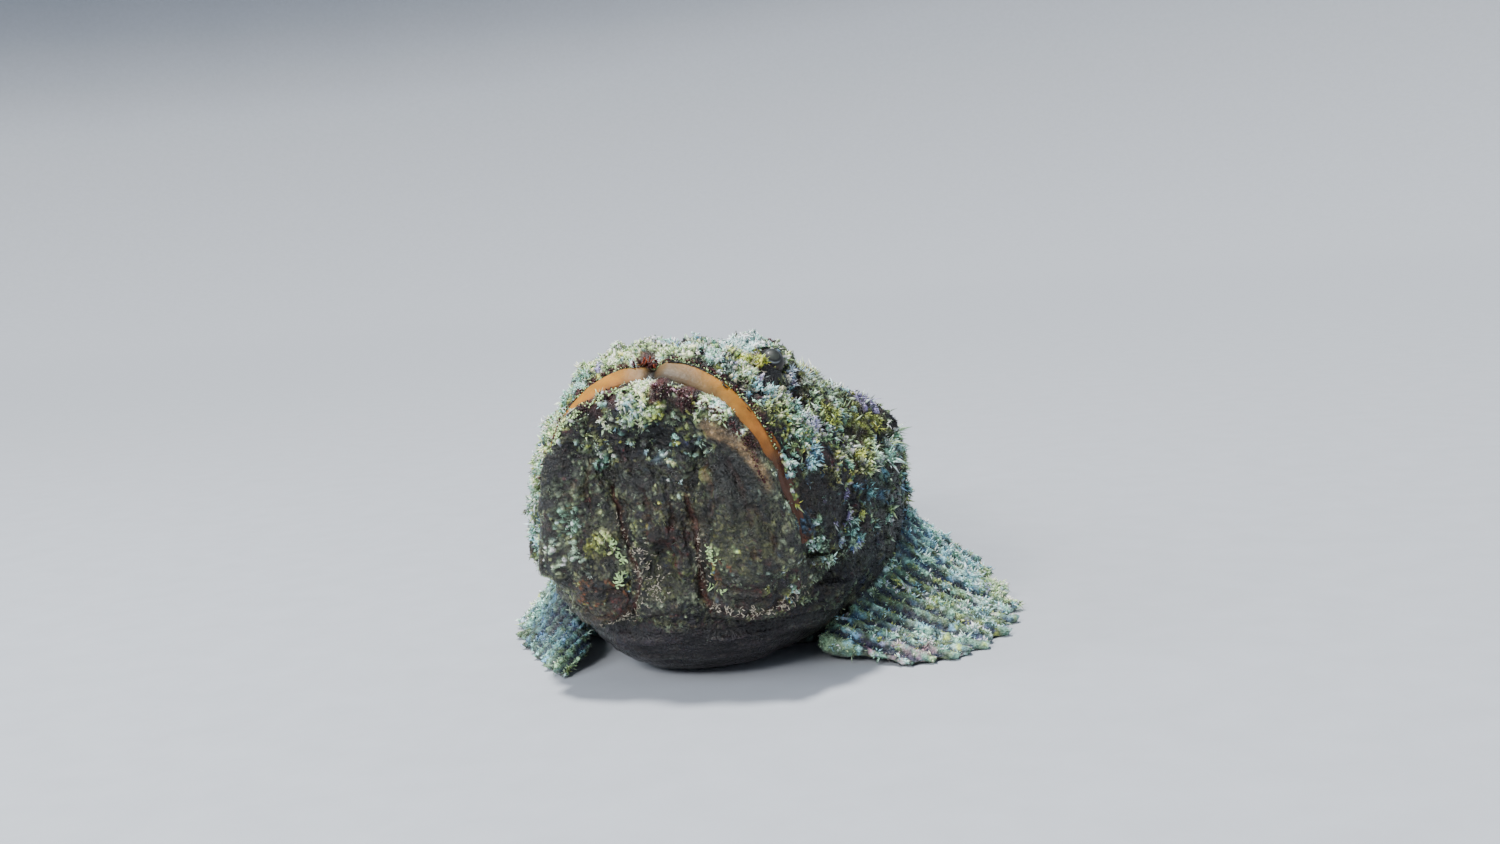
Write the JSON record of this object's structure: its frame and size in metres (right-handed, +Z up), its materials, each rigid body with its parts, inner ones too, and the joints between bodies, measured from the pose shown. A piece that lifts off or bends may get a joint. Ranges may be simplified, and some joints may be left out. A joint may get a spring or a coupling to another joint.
{
  "type": "reef stonefish",
  "caption": "Broad warty fish resting flat on its belly with an upturned mouth, eyes raised on mounds and wide fan-like side fins spread over the floor.",
  "frame": {"origin": "on the floor, under the centre of the whole box with the fins", "axes": "+X to the fish's left, +Y towards its tail, +Z up; the fish faces -Y and rests on z = 0"},
  "size_m": [0.166, 0.294, 0.0956],
  "materials": {
    "skin": "rough, warty and overgrown with algae",
    "face": "rough and wet",
    "fin": "thick soft fin skin with tufts",
    "lining": "smooth, moist mouth lining",
    "eye": "wet and glossy"
  },
  "bodies": {
    "root": {"head": "skin", "trunk": "skin", "tail_stalk": "skin", "gill_cover_left": "skin", "gill_cover_right": "skin", "lower_jaw": "face", "mouth_lining_left": "lining", "mouth_lining_right": "lining", "eye_left": "eye", "eye_right": "eye", "spiny_dorsal_fin": "skin", "soft_dorsal_fin": "fin", "anal_fin": "fin", "tail_fin": "fin", "pectoral_fin_left": "fin", "pectoral_fin_right": "fin", "pelvic_fin_left": "fin", "pelvic_fin_right": "fin"}
  },
  "joints": []
}
